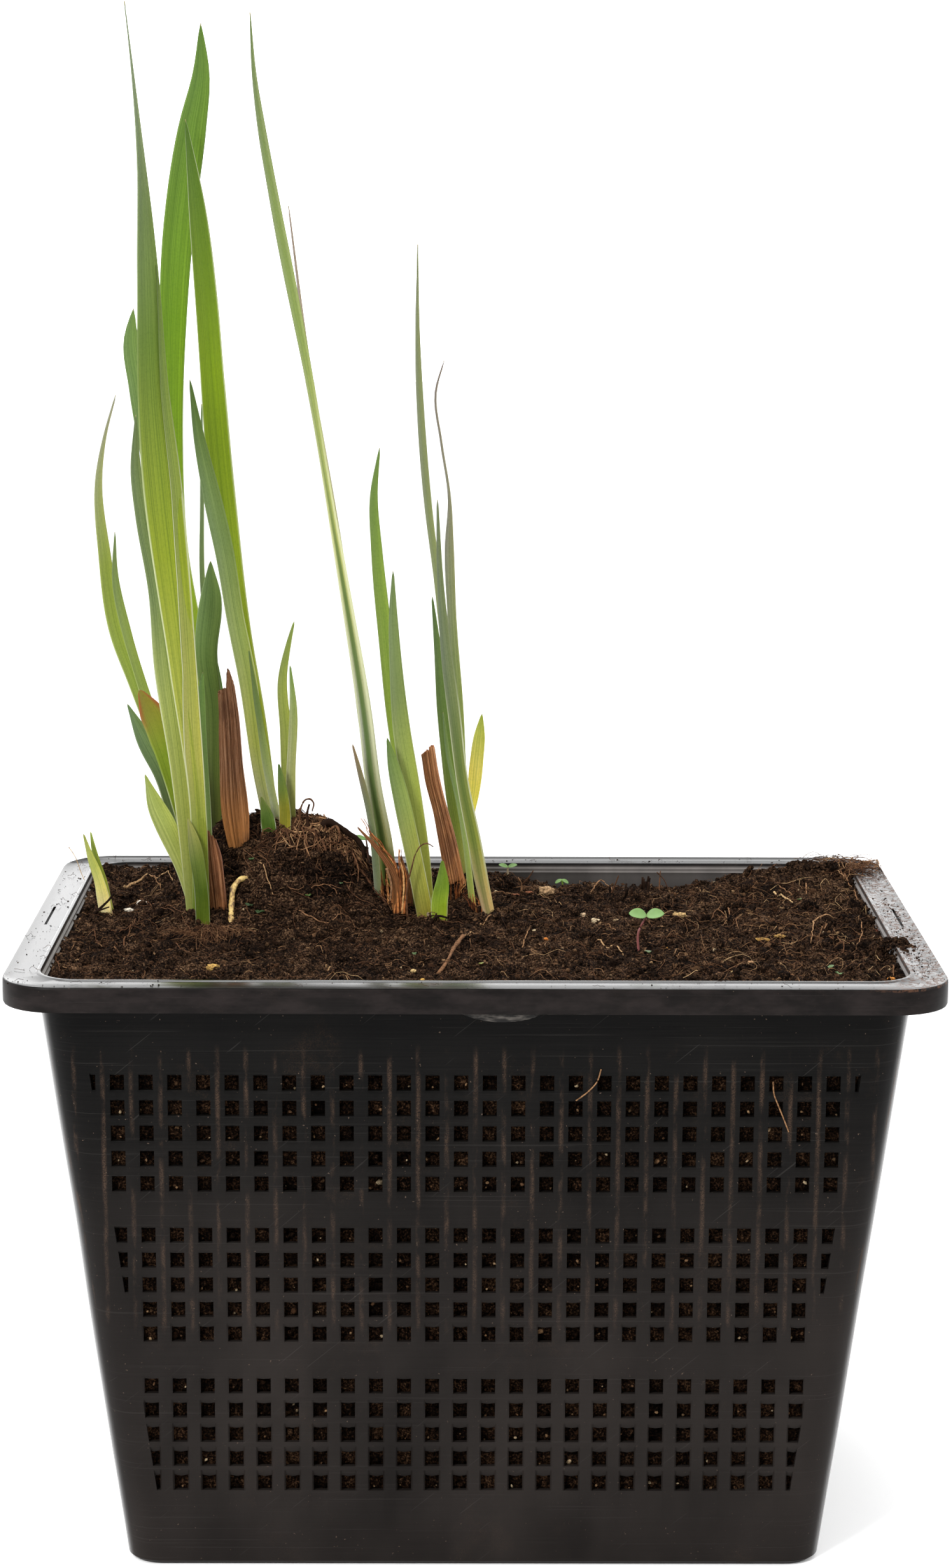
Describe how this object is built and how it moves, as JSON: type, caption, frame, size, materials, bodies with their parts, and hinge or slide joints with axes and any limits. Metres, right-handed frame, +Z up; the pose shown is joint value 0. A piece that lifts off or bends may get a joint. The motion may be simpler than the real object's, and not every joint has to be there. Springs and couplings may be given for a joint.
{
  "type": "potted iris in a mesh pond basket",
  "caption": "Young sword-leaved iris shoots growing from peaty soil in a rectangular tapered black mesh pond basket with a flanged rim.",
  "frame": {"origin": "centre of the basket's underside", "axes": "+Z up along the shoots, X along the basket's long side, -Y towards the front long wall, which is the picture's side"},
  "size_m": [0.3, 0.2, 0.5031],
  "materials": {
    "basket_plastic": "satin black, scuffed, with dried soil smears",
    "peat_soil": "matt, moist, crumbly, full of fine roots",
    "leaf_green": "soft satin, glaucous, finely ribbed",
    "dead_fibre": "dry, matt, fibrous",
    "root_pale": "matt, slightly waxy"
  },
  "bodies": {
    "root": {"basket": "basket_plastic", "soil": "peat_soil", "leaf_front_tall": "leaf_green", "leaf_front_sheath": "leaf_green", "leaf_front_long": "leaf_green", "leaf_front_low": "leaf_green", "leaf_front_short": "leaf_green", "leaf_front_rear": "leaf_green", "leaf_outer_dark": "leaf_green", "leaf_outer_orange": "leaf_green", "leaf_outer_inner": "leaf_green", "leaf_outer_long": "leaf_green", "leaf_back_broad": "leaf_green", "leaf_back_tall": "leaf_green", "leaf_back_edge_on": "leaf_green", "leaf_back_sliver": "leaf_green", "leaf_crown_leaning": "leaf_green", "leaf_crown_tall": "leaf_green", "leaf_crown_side": "leaf_green", "leaf_crown_sheath": "leaf_green", "leaf_small_back": "leaf_green", "leaf_small_front": "leaf_green", "leaf_small_sheath": "leaf_green", "leaf_lone_tall": "leaf_green", "leaf_lone_back": "leaf_green", "leaf_lone_sliver": "leaf_green", "leaf_middle_back": "leaf_green", "leaf_middle_front": "leaf_green", "leaf_middle_sheath": "leaf_green", "leaf_middle_bud": "leaf_green", "leaf_right_front": "leaf_green", "leaf_right_middle": "leaf_green", "leaf_right_inner": "leaf_green", "leaf_right_long": "leaf_green", "leaf_right_curled": "leaf_green", "leaf_right_yellow": "leaf_green", "leaf_far_left": "leaf_green", "leaf_far_left_back": "leaf_green", "stub_tall": "dead_fibre", "stub_right": "dead_fibre", "stub_short": "dead_fibre", "scale_long": "dead_fibre", "scale_short": "dead_fibre", "root_bare": "root_pale"}
  },
  "joints": []
}
